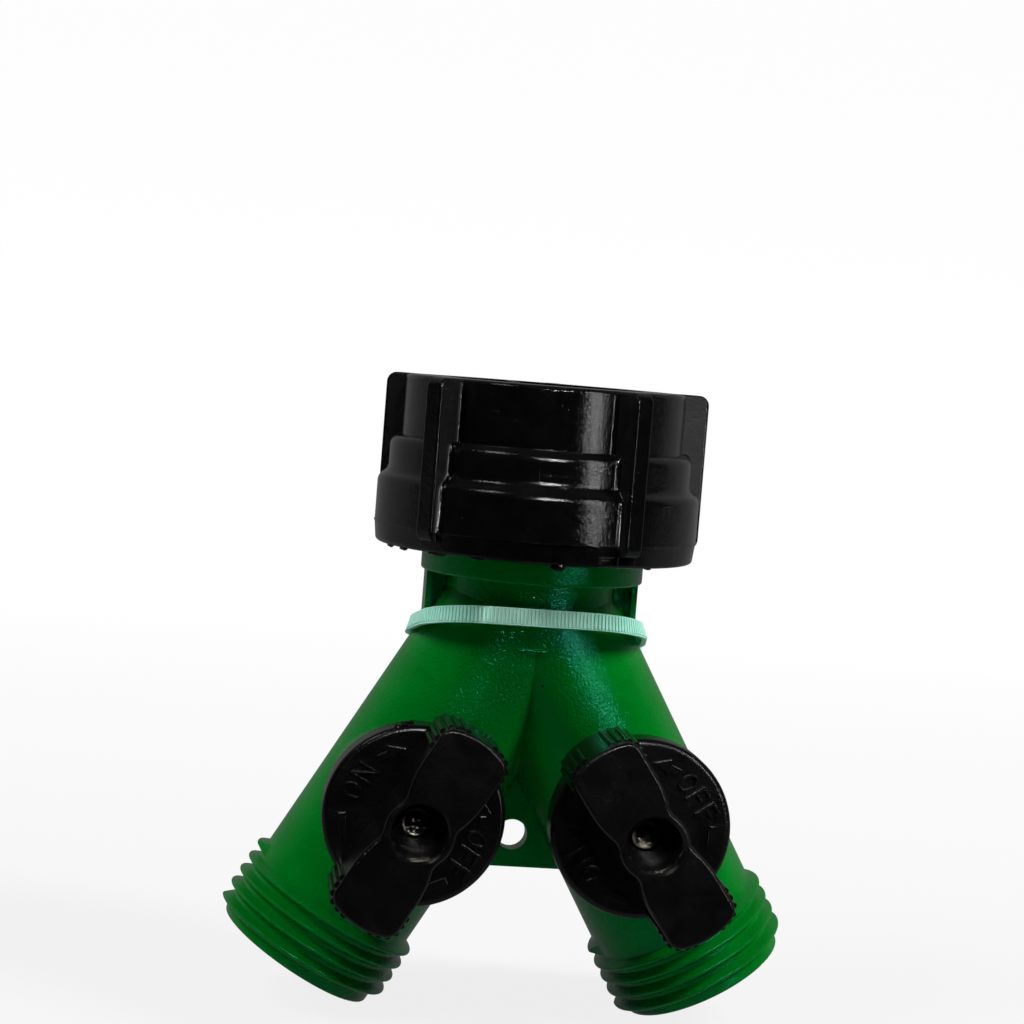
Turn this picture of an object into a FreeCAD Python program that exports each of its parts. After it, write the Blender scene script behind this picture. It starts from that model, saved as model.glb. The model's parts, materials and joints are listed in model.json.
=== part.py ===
import FreeCAD, Part
import math
import os

# Two-way hose splitter with a quarter-turn ball valve on each outlet.
# Millimetres. +Z runs up the inlet's axis, the knobs face -Y, and the origin is the centre of the
# swivel nut's mouth. Each branch is made in its own frame, with its axis down -Z from the point
# where the two axes meet, and is then turned about Y and moved there.

# Hose thread (3/4-11.5 NH)
thread_pitch = 2.209
male_crest_radius = 13.495
male_root_radius = 12.2
female_crest_radius = 12.55
female_root_radius = 13.75
thread_embed = 0.25            # how far a thread's ridge is sunk in the wall that carries it
thread_ramp = 3.2              # length over which a ridge rises at its ends

# Swivel nut
nut_height = 23.9
nut_band_radius = 20.0         # narrow band at the mouth
nut_band_height = 8.6
nut_shoulder_radius = 21.6
nut_shoulder_round = 1.5
nut_shoulder_height = 4.3
nut_flare_height = 2.4
nut_skirt_radius = 23.0
nut_lip_height = 2.9           # slightly tapered lip under the parting line
nut_lip_taper = 0.25
nut_parting_ridge = 0.12       # fine raised line where the lip starts
nut_edge_round = 0.6
nut_wall = 2.2
nut_mouth_web = 2.4            # thickness that joins sleeve and shell at the mouth
nut_sleeve_wall = 2.0
nut_lead_in_depth = 1.5
nut_lead_in_radius = 14.0
nut_ledge_thickness = 4.0      # inner ledge that hooks under the neck's head
wing_count = 5
wing_radius = 24.4
wing_thickness = 2.7
wing_corner = 1.5
wing_edge_round = 0.35
wing_stop = 1.5                # gap between the wing's lower end and the nut's lower edge
wing_phase = 26.5              # degrees from the front

# Neck and collar of the body
inlet_bore_radius = 8.0
head_radius = 14.3
head_depth = 12.8              # from the nut's mouth down to the head's sealing face
head_thickness = 2.8
stub_radius = 12.0
collar_radius = 15.9
collar_thickness = 3.2
collar_edge_round = 0.4
neck_radius = 12.3
neck_length = 9.1              # below the collar, down into the shoulders
fin_reach = 15.2               # outer face of each side fin from the inlet's axis
fin_strip_thickness = 0.8
fin_strip_width = 5.0
fin_web_thickness = 1.6
swivel_gap = 0.35              # clearance all round where the nut turns on the neck

# Washer
washer_thickness = 3.2
washer_bore_radius = 7.9
washer_gap = 0.35              # between washer and the nut's thread

# Branches
branch_angle = 30.0            # each side of the inlet's axis
meet_depth = 32.6              # where the branch axes meet, below the nut's mouth
branch_radius = 12.2
branch_length = 59.6
passage_radius = 6.5
chamber_radius = 9.0           # ball chamber, open to the outlet
outlet_lip_radius = 12.0       # plain pilot beyond the thread
outlet_lip_length = 1.9
outlet_edge_round = 0.5
outlet_bore_radius = 9.3
outlet_first_crest = 1.7       # from the outlet's end to the middle of the ridge where it starts
outlet_thread_turns = 4.08
outlet_thread_start = 165.0    # degrees round the branch, where the ridge starts at the end

# Web between the branches
web_thickness = 3.0
web_bottom_depth = 69.6
hang_hole_radius = 2.2
hang_hole_depth = 64.9

# Valves
valve_offset = 31.4            # from the meeting point to the valve's centre, along the branch
ball_radius = 8.6
ball_bore_radius = 5.5
slot_width = 3.7
slot_depth = 2.0
seat_gap = 0.12                # between ball and seat
seat_bore_radius = 5.6
seat_contact = 4.0             # where the seat starts, from the valve's centre
seat_end = 8.2                 # where the seat ends
seat_fit_gap = 0.05
retainer_length = 4.5
retainer_bore_radius = 7.0
boss_radius = 11.6
boss_face = 13.3               # front of the boss, from the branch's axis
stem_hole_radius = 6.0
stem_flange_radius = 5.7
stem_flange_thickness = 1.55
stem_ball_gap = 0.55
stem_radius = 3.4
stem_fit = 0.08                # radial running clearance of stem in bonnet
stem_square = 5.0
tongue_length = 6.6
tongue_thickness = 3.5
bonnet_radius = 9.15
bonnet_thickness = 2.4
stem_oring_section = 0.75
stem_oring_gap = 0.05
bonnet_oring_radius = 7.6
bonnet_oring_section = 0.5
oring_groove_side = 0.1        # play beside an O-ring in its groove

# Travel stop inside the knob
stop_inner_radius = 5.7
stop_outer_radius = 7.0
stop_height = 1.6
stop_lug_angle = 30.0
stop_play = 1.5                # degrees left at each end of the travel
valve_travel = 90.0
rest_turns = {"left": 0.0, "right": 5.5}    # how far from fully open each knob rests

# Knobs
knob_gap = 0.7                 # between boss and knob
knob_disc_radius = 12.55
knob_disc_front = 18.4
knob_disc_round = 0.8
knob_skirt_wall = 1.5
knob_cavity_depth = 2.8
knob_hub_radius = 5.2
socket_clearance = 0.05
lever_top = 29.5
lever_length = 29.4
lever_end_width = 10.1
lever_end_start = 8.0          # from the middle to where the ends have their full width
lever_waist_width = 8.4
lever_waist_reach = 3.2        # from the middle to where the waist starts to widen
lever_end_bulge = 1.2
lever_corner = 2.0
lever_top_round = 0.45
lever_hub_radius = 4.8
lever_hub_blend = 2.2          # radius where the hub runs into the waist
grip_rib_radius = 0.45
grip_rib_count = 6
grip_rib_pitch = 1.15
grip_rib_shy = 1.2             # how far the ribs stop under the lever's top
well_radius = 3.8
well_floor = 20.6
well_chamfer = 0.35

# Knob screw
screw_head_radius = 2.3
screw_head_height = 1.7
screw_shank_radius = 1.25
screw_length = 9.0
screw_recess_width = 0.7
screw_recess_span = 2.6
screw_recess_depth = 0.9

# Neck tie
tie_width = 2.4
tie_thickness = 0.75
tie_drop = 2.7                 # its middle, below the point where the branch axes meet
tie_side_gap = 0.54            # between the middle of the band and the shoulders
tie_front_gap = 0.12           # between tie and neck, at the front and the back
tie_back_spread = 0.15         # how much each side spreads, per millimetre towards the back
tie_foot_spread = 0.35         # the same, per millimetre towards its foot
tie_front_corner = 9.1
tie_back_corner = 12.5
tie_tilt = 13.5                # degrees, front up
tie_head_length = 4.6
tie_head_height = 4.2
tie_head_thickness = 3.0
tie_tail_length = 19.6         # from the middle of the head, towards +X

sides = {"left": branch_angle, "right": -branch_angle}


def vec(x, y, z):
    return FreeCAD.Vector(x, y, z)


def disc_y(radius, front, back):
    """Cylinder on the valve's axis, between two distances in front of the branch's axis."""
    return Part.makeCylinder(radius, front - back, vec(0, -back, 0), vec(0, -1, 0))


def tube_z(radius, top, bottom):
    return Part.makeCylinder(radius, top - bottom, vec(0, 0, bottom))


def box(x_size, y_range, z_size):
    y0, y1 = y_range
    return Part.makeBox(x_size, y1 - y0, z_size, vec(-x_size / 2, y0, -z_size / 2))


def revolved(edges):
    """Solid of revolution about Z of a closed outline in the XZ plane."""
    face = Part.Face(Part.Wire(edges))
    return face.revolve(vec(0, 0, 0), vec(0, 0, 1), 360)


def line(a, b):
    return Part.LineSegment(vec(a[0], 0, a[1]), vec(b[0], 0, b[1])).toShape()


def arc(a, mid, b):
    return Part.Arc(vec(a[0], 0, a[1]), vec(mid[0], 0, mid[1]), vec(b[0], 0, b[1])).toShape()


def polygon(points):
    return [line(points[i], points[(i + 1) % len(points)]) for i in range(len(points))]


def helix_ridge(root, crest, embed, turns):
    """One ridge of hose thread, right-handed, rising from z = 0. It points inwards if crest < root."""
    out = 1 if crest > root else -1
    base = 0.46 * thread_pitch
    flank = 0.12 * thread_pitch
    knee = root + 0.85 * (crest - root)
    foot = root - out * embed
    helix = Part.makeHelix(thread_pitch, thread_pitch * turns, root)
    outline = Part.Wire([
        line((foot, -base), (knee, -flank)),
        arc((knee, -flank), (crest, 0), (knee, flank)),
        line((knee, flank), (foot, base)),
        line((foot, base), (foot, -base)),
    ])
    return Part.Wire(helix.Edges).makePipeShell([outline], True, True)


def ramp_cutter(root, crest, start):
    """What is cut off a ridge that starts on +X, so that it rises slowly. Mirrored where it ends."""
    out = 1 if crest > root else -1
    foot = root - out * 0.05
    full = math.sqrt(crest * crest - thread_ramp * thread_ramp)
    far = crest + out
    reach = thread_ramp * (far - foot) / (full - foot)
    sign = 1 if start else -1
    corners = [(foot, 0), (foot, -sign), (far, -sign), (far, sign * reach)]
    points = [vec(x, y, -0.5 * thread_pitch) for x, y in corners]
    face = Part.Face(Part.makePolygon(points + points[:1]))
    return face.extrude(vec(0, 0, thread_pitch))


def ridge_solid(root, crest, embed, turns):
    ridge = helix_ridge(root, crest, embed, turns)
    ridge = ridge if ridge.ShapeType == "Solid" else Part.Solid(ridge.Shells[0])
    top = ramp_cutter(root, crest, False)
    top.rotate(vec(0, 0, 0), vec(0, 0, 1), 360 * turns)
    top.translate(vec(0, 0, thread_pitch * turns))
    return ridge.cut(ramp_cutter(root, crest, True)).cut(top)


def fused(first, *others):
    return first.multiFuse(list(others)).removeSplitter()


def in_branch(shape, side):
    """Move a shape from a branch's own frame to its place."""
    placed = shape.copy()
    turn = FreeCAD.Rotation(vec(0, 1, 0), sides[side])
    placed.Placement = FreeCAD.Placement(vec(0, 0, -meet_depth), turn).multiply(placed.Placement)
    return placed


def in_valve(shape, side, turned=False):
    """Move a shape from a valve's own frame to its place, turned to the rest angle if it turns."""
    placed = shape.copy()
    angle = rest_turns[side] if turned else 0
    spin = FreeCAD.Placement(vec(0, 0, -valve_offset), FreeCAD.Rotation(vec(0, -1, 0), angle))
    placed.Placement = spin.multiply(placed.Placement)
    return in_branch(placed, side)


# ---- Nut ----

def nut_sleeve_radius():
    return female_root_radius + nut_sleeve_wall


def head_under():
    """Underside of the neck's head."""
    return head_depth + head_thickness


def make_nut():
    band, shoulder, skirt = nut_band_radius, nut_shoulder_radius, nut_skirt_radius
    shoulder_top = -nut_band_height
    shoulder_end = shoulder_top - nut_shoulder_height
    skirt_top = shoulder_end - nut_flare_height
    lip_top = -nut_height + nut_lip_height
    r = nut_shoulder_round
    step = shoulder - band
    bend = math.sqrt(0.5)
    mid_flare = ((shoulder + skirt) / 2, (shoulder_end + skirt_top) / 2)
    e = nut_edge_round
    parting = nut_parting_ridge
    outline = [
        line((0, 0), (band - e, 0)),
        arc((band - e, 0), (band - e + e * bend, -e + e * bend), (band, -e)),
        line((band, -e), (band, shoulder_top)),
        arc((band, shoulder_top), (band + step * bend, shoulder_top - r + r * bend),
            (shoulder, shoulder_top - r)),
        line((shoulder, shoulder_top - r), (shoulder, shoulder_end)),
        arc((shoulder, shoulder_end), (shoulder + (skirt - shoulder) * 0.14,
            shoulder_end - nut_flare_height * 0.27), mid_flare),
        arc(mid_flare, (skirt - (skirt - shoulder) * 0.14, skirt_top + nut_flare_height * 0.27),
            (skirt, skirt_top)),
        line((skirt, skirt_top), (skirt, lip_top + parting)),
        line((skirt, lip_top + parting), (skirt + parting, lip_top)),
        line((skirt + parting, lip_top), (skirt, lip_top - parting)),
        line((skirt, lip_top - parting), (skirt - nut_lip_taper, -nut_height + e)),
        arc((skirt - nut_lip_taper, -nut_height + e),
            (skirt - nut_lip_taper - e + e * bend, -nut_height + e - e * bend),
            (skirt - nut_lip_taper - e, -nut_height)),
        line((skirt - nut_lip_taper - e, -nut_height), (0, -nut_height)),
        line((0, -nut_height), (0, 0)),
    ]
    nut = revolved(outline)

    wing = make_wing()
    wings = []
    for i in range(wing_count):
        copy = wing.copy()
        copy.rotate(vec(0, 0, 0), vec(0, 0, 1), wing_phase + i * 360.0 / wing_count)
        wings.append(copy)
    nut = fused(nut, *wings)

    # hollow between the threaded sleeve and the outer shell, open below, with a rib behind each wing
    sleeve = nut_sleeve_radius()
    shell_top = nut_band_radius - nut_wall
    shell_low = nut_skirt_radius - nut_wall
    hollow = revolved(polygon([
        (sleeve, -nut_height), (shell_low, -nut_height), (shell_low, skirt_top),
        (shell_top, shoulder_top), (shell_top, -nut_mouth_web), (sleeve, -nut_mouth_web),
    ]))
    ribs = []
    for i in range(wing_count):
        rib = Part.makeBox(wing_thickness, nut_skirt_radius, nut_height - nut_lip_height,
                           vec(-wing_thickness / 2, -nut_skirt_radius, -nut_height + nut_lip_height))
        rib.rotate(vec(0, 0, 0), vec(0, 0, 1), wing_phase + i * 360.0 / wing_count)
        ribs.append(rib)
    nut = nut.cut(hollow.cut(ribs[0].multiFuse(ribs[1:])))

    # mouth, thread bore, chamber round the neck's head, and the ledge under it
    thread_end = head_depth - washer_thickness * 0.5
    chamber_top = -thread_end
    ledge_top = -(head_under() + swivel_gap)
    ledge_end = ledge_top - nut_ledge_thickness
    chamber = head_radius + swivel_gap
    nut = nut.cut(tube_z(nut_lead_in_radius, 1, -nut_lead_in_depth))
    nut = nut.cut(tube_z(female_root_radius, 0, chamber_top))
    nut = nut.cut(tube_z(chamber, chamber_top, ledge_top))
    nut = nut.cut(tube_z(stub_radius + swivel_gap, ledge_top, ledge_end))
    nut = nut.cut(tube_z(sleeve - nut_sleeve_wall, ledge_end, -nut_height - 1))
    turns = (thread_end - nut_lead_in_depth) / thread_pitch - 1
    ridge = ridge_solid(female_root_radius, female_crest_radius, thread_embed, turns)
    ridge.translate(vec(0, 0, chamber_top + thread_pitch / 2))
    return nut.fuse(ridge)


def make_wing():
    """Gripping wing at the front, with rounded outer corners."""
    top, bottom = 0.0, -nut_height + wing_stop
    inner = nut_band_radius - nut_wall / 2
    c = wing_corner
    k = c * (1 - math.sqrt(0.5))
    r = wing_radius
    outline = [
        line((inner, top), (r - c, top)),
        arc((r - c, top), (r - k, top - k), (r, top - c)),
        line((r, top - c), (r, bottom + c)),
        arc((r, bottom + c), (r - k, bottom + k), (r - c, bottom)),
        line((r - c, bottom), (inner, bottom)),
        line((inner, bottom), (inner, top)),
    ]
    blade = Part.Face(Part.Wire(outline)).extrude(vec(0, wing_thickness, 0))
    blade.translate(vec(0, -wing_thickness / 2, 0))
    rim = [edge for edge in blade.Edges if edge.CenterOfMass.x > inner + 0.5
           and abs(abs(edge.CenterOfMass.y) - wing_thickness / 2) < 0.01]
    blade = blade.makeFillet(wing_edge_round, rim)
    blade.rotate(vec(0, 0, 0), vec(0, 0, 1), -90)
    return blade


def make_washer():
    radius = female_crest_radius - washer_gap
    washer = tube_z(radius, -head_depth + washer_thickness, -head_depth)
    return washer.cut(tube_z(washer_bore_radius, 0, -head_depth - 1))


# ---- Body ----

def collar_top():
    return nut_height + swivel_gap


def collar_bottom():
    return collar_top() + collar_thickness


def make_neck():
    c = collar_edge_round
    r = collar_radius
    top, bottom = -collar_top(), -collar_bottom()
    under = -head_under()
    end = bottom - neck_length
    k = c * (1 - math.sqrt(0.5))
    return revolved([
        line((0, -head_depth), (head_radius, -head_depth)),
        line((head_radius, -head_depth), (head_radius, under)),
        line((head_radius, under), (stub_radius, under)),
        line((stub_radius, under), (stub_radius, top)),
        line((stub_radius, top), (r - c, top)),
        arc((r - c, top), (r - k, top - k), (r, top - c)),
        line((r, top - c), (r, bottom + c)),
        arc((r, bottom + c), (r - k, bottom + k), (r - c, bottom)),
        line((r - c, bottom), (neck_radius, bottom)),
        line((neck_radius, bottom), (neck_radius, end)),
        line((neck_radius, end), (0, end)),
        line((0, end), (0, -head_depth)),
    ])


def make_fins():
    """T-shaped fin on each side of the neck, from the collar down into the shoulder."""
    height = neck_length
    bottom = -collar_bottom() - height
    fins = []
    for sign in (-1, 1):
        strip_x = sign * (fin_reach - fin_strip_thickness / 2)
        strip = Part.makeBox(fin_strip_thickness, fin_strip_width, height,
                             vec(strip_x - fin_strip_thickness / 2, -fin_strip_width / 2, bottom))
        web_length = fin_reach - neck_radius + 1
        web_x = neck_radius - 1 if sign > 0 else -fin_reach
        web = Part.makeBox(web_length, fin_web_thickness, height,
                           vec(web_x, -fin_web_thickness / 2, bottom))
        fins += [strip, web]
    return fins


def make_web():
    reach = (web_bottom_depth - meet_depth) * math.tan(math.radians(branch_angle))
    outline = [(0, -meet_depth), (reach, -web_bottom_depth), (-reach, -web_bottom_depth)]
    web = Part.Face(Part.Wire(polygon(outline))).extrude(vec(0, web_thickness, 0))
    web.translate(vec(0, -web_thickness / 2, 0))
    return web


def branch_outside():
    """Pipe with its outlet end in the branch's own frame."""
    lip_top = -branch_length + outlet_lip_length
    e = outlet_edge_round
    r = outlet_lip_radius
    k = e * (1 - math.sqrt(0.5))
    pipe = revolved([
        line((0, 0), (branch_radius, 0)),
        line((branch_radius, 0), (branch_radius, lip_top)),
        line((branch_radius, lip_top), (r, lip_top)),
        line((r, lip_top), (r, -branch_length + e)),
        arc((r, -branch_length + e), (r - k, -branch_length + k), (r - e, -branch_length)),
        line((r - e, -branch_length), (0, -branch_length)),
        line((0, -branch_length), (0, 0)),
    ])
    boss = disc_y(boss_radius, boss_face, 0)
    boss.translate(vec(0, 0, -valve_offset))
    ridge = ridge_solid(male_root_radius, male_crest_radius, thread_embed, outlet_thread_turns)
    ridge.rotate(vec(0, 0, 0), vec(0, 0, 1), outlet_thread_start)
    ridge.translate(vec(0, 0, -branch_length + outlet_first_crest))
    return pipe.fuse(boss), ridge


def branch_inside():
    """Passage, ball chamber, outlet bore and stem hole in the branch's own frame."""
    shoulder = -valve_offset + seat_end
    passage = tube_z(passage_radius, 0, shoulder)
    chamber_end = -valve_offset - seat_end - retainer_length
    chamber = tube_z(chamber_radius, shoulder, chamber_end)
    outlet = tube_z(outlet_bore_radius, chamber_end, -branch_length - 1)
    stem_hole = disc_y(stem_hole_radius, boss_face + 1, 0)
    bonnet_seat = disc_y(bonnet_radius, boss_face + 1, boss_face - bonnet_thickness)
    stem_hole.translate(vec(0, 0, -valve_offset))
    bonnet_seat.translate(vec(0, 0, -valve_offset))
    groove = oring_groove()
    groove.translate(vec(0, 0, -valve_offset))
    return [passage, chamber, outlet, stem_hole, bonnet_seat, groove]


def oring_groove():
    half = bonnet_oring_section + oring_groove_side
    floor = boss_face - bonnet_thickness
    outer = disc_y(bonnet_oring_radius + half, floor, floor - 2 * bonnet_oring_section)
    return outer.cut(disc_y(bonnet_oring_radius - half, floor, floor - 2 * bonnet_oring_section))


def make_body():
    outside = [make_web()] + make_fins()
    ridges = []
    inside = []
    for side in sides:
        pipe, ridge = branch_outside()
        outside.append(in_branch(pipe, side))
        ridges.append(in_branch(ridge, side))
        inside += [in_branch(shape, side) for shape in branch_inside()]
    body = fused(make_neck(), *outside)
    inlet = tube_z(inlet_bore_radius, 0, -meet_depth)
    pocket = Part.makeSphere(inlet_bore_radius, vec(0, 0, -meet_depth))
    hang_hole = Part.makeCylinder(hang_hole_radius, web_thickness + 2,
                                  vec(0, -web_thickness / 2 - 1, -hang_hole_depth), vec(0, 1, 0))
    body = body.cut(inlet.multiFuse([pocket, hang_hole] + inside))
    return body.multiFuse(ridges)


# ---- Valve pieces, in the valve's own frame ----

def make_ball():
    ball = Part.makeSphere(ball_radius)
    bore = Part.makeCylinder(ball_bore_radius, 2 * ball_radius, vec(0, 0, -ball_radius))
    slot = box(2 * ball_radius, (-ball_radius, -ball_radius + slot_depth), slot_width)
    return ball.cut(bore).cut(slot)


def make_seat(direction):
    """Ring between the ball and its stop, above the ball (1) or below it (-1)."""
    length = seat_end - seat_contact
    start = seat_contact if direction > 0 else -seat_end
    ring = Part.makeCylinder(chamber_radius - seat_fit_gap, length, vec(0, 0, start))
    ring = ring.cut(Part.makeCylinder(seat_bore_radius, length, vec(0, 0, start)))
    return ring.cut(Part.makeSphere(ball_radius + seat_gap))


def make_retainer():
    bottom = -seat_end - retainer_length
    ring = Part.makeCylinder(chamber_radius, retainer_length, vec(0, 0, bottom))
    return ring.cut(Part.makeCylinder(retainer_bore_radius, retainer_length, vec(0, 0, bottom)))


def stem_levels():
    flange_back = ball_radius + stem_ball_gap
    flange_front = flange_back + stem_flange_thickness
    return flange_back, flange_front


def knob_back():
    return boss_face + knob_gap


def make_stem():
    flange_back, flange_front = stem_levels()
    flange = disc_y(stem_flange_radius, flange_front, flange_back)
    shaft = disc_y(stem_radius, knob_back(), flange_back)
    square = box(stem_square, (-knob_disc_front, -flange_front), stem_square)
    shoulder = disc_y(stem_radius, knob_disc_front, flange_back)
    square = square.common(shoulder)
    tongue = box(tongue_length, (-flange_back, -(ball_radius - slot_depth)), tongue_thickness)
    stem = fused(flange, shaft, square, tongue)
    pilot = disc_y(screw_shank_radius, knob_disc_front + 1, well_floor - screw_length)
    return stem.cut(pilot)


def gland():
    """Space for the stem's O-ring on the bonnet's back: its front and its radius."""
    front = boss_face - bonnet_thickness + 2 * stem_oring_section
    radius = stem_radius + stem_oring_gap + 2 * stem_oring_section + oring_groove_side
    return front, radius


def sector(inner, outer, front, back, start, angle):
    """Part of a ring on the valve's axis. Angles run counter-clockwise from up, seen from the front."""
    corners = [vec(0, -front, inner), vec(0, -front, outer), vec(0, -back, outer), vec(0, -back, inner)]
    face = Part.Face(Part.makePolygon(corners + corners[:1]))
    ring = face.revolve(vec(0, 0, 0), vec(0, -1, 0), angle)
    ring.rotate(vec(0, 0, 0), vec(0, -1, 0), start)
    return ring


def make_bonnet():
    plate = disc_y(bonnet_radius, boss_face, boss_face - bonnet_thickness)
    open_side = stop_lug_angle + valve_travel + 2 * stop_play
    start = valve_travel + stop_lug_angle / 2 + stop_play
    stop = sector(stop_inner_radius, stop_outer_radius, boss_face + stop_height + knob_gap,
                  boss_face - 0.5, start, 360 - open_side)
    bonnet = plate.fuse(stop)
    front, radius = gland()
    bonnet = bonnet.cut(disc_y(stem_radius + stem_fit, boss_face + 1, 0))
    return bonnet.cut(disc_y(radius, front, 0))


def torus_y(radius, section, middle):
    return Part.makeTorus(radius, section, vec(0, -middle, 0), vec(0, -1, 0))


def make_stem_oring():
    front = gland()[0]
    return torus_y(stem_radius + stem_oring_gap + stem_oring_section, stem_oring_section,
                   front - stem_oring_section)


def make_bonnet_oring():
    floor = boss_face - bonnet_thickness
    return torus_y(bonnet_oring_radius, bonnet_oring_section, floor - bonnet_oring_section)


def lever_outline():
    """Outline of the lever in the XZ plane: waisted in the middle, with curved ends."""
    half = lever_length / 2
    side = half - lever_end_bulge
    w_end, w_waist = lever_end_width / 2, lever_waist_width / 2
    start, waist = lever_end_start, lever_waist_reach
    step, run = w_end - w_waist, start - waist
    bend = (step * step + run * run) / (2 * step)
    turn = math.asin(run / bend) / 2
    middle = (w_end - bend * (1 - math.cos(turn)), start - bend * math.sin(turn))
    edges = []
    for s in (1, -1):
        edges += [
            line((s * w_end, s * side), (s * w_end, s * start)),
            arc((s * w_end, s * start), (s * middle[0], s * middle[1]), (s * w_waist, s * waist)),
            line((s * w_waist, s * waist), (s * w_waist, -s * waist)),
            arc((s * w_waist, -s * waist), (s * middle[0], -s * middle[1]), (s * w_end, -s * start)),
            line((s * w_end, -s * start), (s * w_end, -s * side)),
            arc((s * w_end, -s * side), (0, -s * half), (-s * w_end, -s * side)),
        ]
    return edges


def make_lever():
    back = knob_back() + knob_cavity_depth
    face = Part.Face(Part.Wire(lever_outline()))
    lever = face.extrude(vec(0, -(lever_top - back), 0))
    lever.translate(vec(0, -back, 0))
    side = lever_length / 2 - lever_end_bulge
    upright = [edge for edge in lever.Edges
               if abs(abs(edge.CenterOfMass.z) - side) < 0.01
               and abs(abs(edge.CenterOfMass.x) - lever_end_width / 2) < 0.01]
    lever = lever.makeFillet(lever_corner, upright)
    lever = fused(lever, disc_y(lever_hub_radius, lever_top, back))
    waist = lever_waist_width / 2
    meet = math.sqrt(lever_hub_radius ** 2 - waist ** 2)
    inner = [edge for edge in lever.Edges if abs(abs(edge.CenterOfMass.z) - meet) < 0.01
             and abs(abs(edge.CenterOfMass.x) - waist) < 0.01]
    return lever.makeFillet(lever_hub_blend, inner)


def outline_point(along):
    """Point on the lever's outline, this far from the middle of a corner: + down the side."""
    half, w = lever_length / 2, lever_end_width / 2
    r = lever_corner
    end_radius = (w * w + lever_end_bulge * lever_end_bulge) / (2 * lever_end_bulge)
    end_middle = half - end_radius
    x0 = w - r
    z0 = end_middle + math.sqrt((end_radius - r) ** 2 - x0 * x0)
    lean = math.asin(x0 / (end_radius - r))          # from straight up, where corner meets end
    span = math.pi / 2 - lean
    rest = abs(along) - r * span / 2
    if rest <= 0:
        angle = span / 2 - along / r
        return x0 + r * math.cos(angle), z0 + r * math.sin(angle)
    if along > 0:
        return w, z0 - rest
    angle = lean - rest / end_radius
    return end_radius * math.sin(angle), end_middle + end_radius * math.cos(angle)


def make_grip_ribs():
    """Small upright ribs round each corner of the lever."""
    ribs = []
    for i in range(grip_rib_count):
        x, z = outline_point((i - (grip_rib_count - 1) / 2.0) * grip_rib_pitch)
        for sx in (-1, 1):
            for sz in (-1, 1):
                rib = disc_y(grip_rib_radius, lever_top - grip_rib_shy, knob_disc_front)
                rib.translate(vec(sx * x, 0, sz * z))
                ribs.append(rib)
    return ribs


def make_knob():
    back = knob_back()
    disc = disc_y(knob_disc_radius, knob_disc_front, back)
    front_rim = [edge for edge in disc.Edges if abs(edge.CenterOfMass.y + knob_disc_front) < 0.01
                 and len(edge.Vertexes) < 2]
    disc = disc.makeFillet(knob_disc_round, front_rim)
    lever = make_lever()
    top = [edge for edge in lever.Edges if abs(edge.BoundBox.YMax + lever_top) < 0.01]
    lever = lever.makeFillet(lever_top_round, top)
    knob = fused(disc, lever, *make_grip_ribs())
    cavity = disc_y(knob_disc_radius - knob_skirt_wall, back + knob_cavity_depth, back)
    cavity = cavity.cut(disc_y(knob_hub_radius, back + knob_cavity_depth, back))
    knob = knob.cut(cavity)
    lug = sector(stop_inner_radius - 1, stop_outer_radius, back + knob_cavity_depth + 0.5,
                 back, -stop_lug_angle / 2, stop_lug_angle)
    socket_size = stem_square + 2 * socket_clearance
    socket = box(socket_size, (-knob_disc_front, -back), socket_size)
    well = disc_y(well_radius, lever_top, well_floor)
    mouth = Part.makeCone(well_radius, well_radius + 2 * well_chamfer, 2 * well_chamfer,
                          vec(0, -lever_top + well_chamfer, 0), vec(0, -1, 0))
    screw_hole = disc_y(screw_shank_radius + 0.3, well_floor, knob_disc_front - 1)
    return knob.fuse(lug).cut(socket.multiFuse([well, mouth, screw_hole]))


def make_screw():
    front = well_floor + screw_head_height
    head = disc_y(screw_head_radius, front, well_floor)
    rim = [edge for edge in head.Edges if abs(edge.CenterOfMass.y + front) < 0.01
           and len(edge.Vertexes) < 2]
    head = head.makeFillet(screw_head_height * 0.5, rim)
    shank = disc_y(screw_shank_radius, well_floor + 0.1, well_floor - screw_length)
    recess = []
    for size in ((screw_recess_span, screw_recess_width), (screw_recess_width, screw_recess_span)):
        recess.append(box(size[0], (-front, -front + screw_recess_depth), size[1]))
    return head.fuse(shank).cut(recess[0].fuse(recess[1]))


# ---- Neck tie ----

def tie_half_depth():
    tilt = math.radians(tie_tilt)
    inner = (neck_radius + tie_front_gap + tie_width / 2 * math.sin(tilt)) / math.cos(tilt)
    return inner + tie_thickness


def rounded_outline(corners, radii):
    """Closed wire through level corners, each rounded with its own radius."""
    edges = []
    ends = []
    for i, corner in enumerate(corners):
        back = (corners[i - 1] - corner).normalize()
        ahead = (corners[(i + 1) % len(corners)] - corner).normalize()
        half = back.getAngle(ahead) / 2
        length = radii[i] / math.tan(half)
        inwards = (back + ahead).normalize()
        middle = corner + inwards * (radii[i] / math.sin(half) - radii[i])
        ends.append((corner + back * length, middle, corner + ahead * length))
    for i, (start, middle, end) in enumerate(ends):
        edges.append(Part.Arc(start, middle, end).toShape())
        edges.append(Part.LineSegment(end, ends[(i + 1) % len(ends)][0]).toShape())
    return Part.Wire(edges)


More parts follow.
